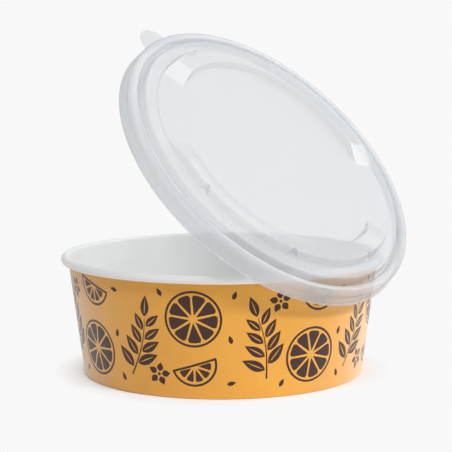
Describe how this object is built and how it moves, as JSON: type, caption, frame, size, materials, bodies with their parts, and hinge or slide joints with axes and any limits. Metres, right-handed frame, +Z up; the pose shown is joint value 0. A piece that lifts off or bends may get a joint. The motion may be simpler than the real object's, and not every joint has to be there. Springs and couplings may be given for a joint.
{
  "type": "paper food bowl with snap lid",
  "caption": "Round tapered paper food bowl with a rolled rim and printed outside, and a clear thermoformed snap lid with stacking ribs and a pull tab leaning half open on the rim.",
  "frame": {"origin": "centre of the bowl's foot, in the plane that it stands on", "axes": "+Z up along the bowl's axis; the picture looks along +Y, so +X is to its right and the side seam is at the back, on +Y"},
  "size_m": [0.1982, 0.1985, 0.1943],
  "materials": {
    "printed_board": "satin",
    "white_board": "satin",
    "clear_plastic": "gloss"
  },
  "bodies": {
    "root": {"sidewall": "printed_board", "base_disc": "white_board", "lid": "clear_plastic"}
  },
  "joints": []
}
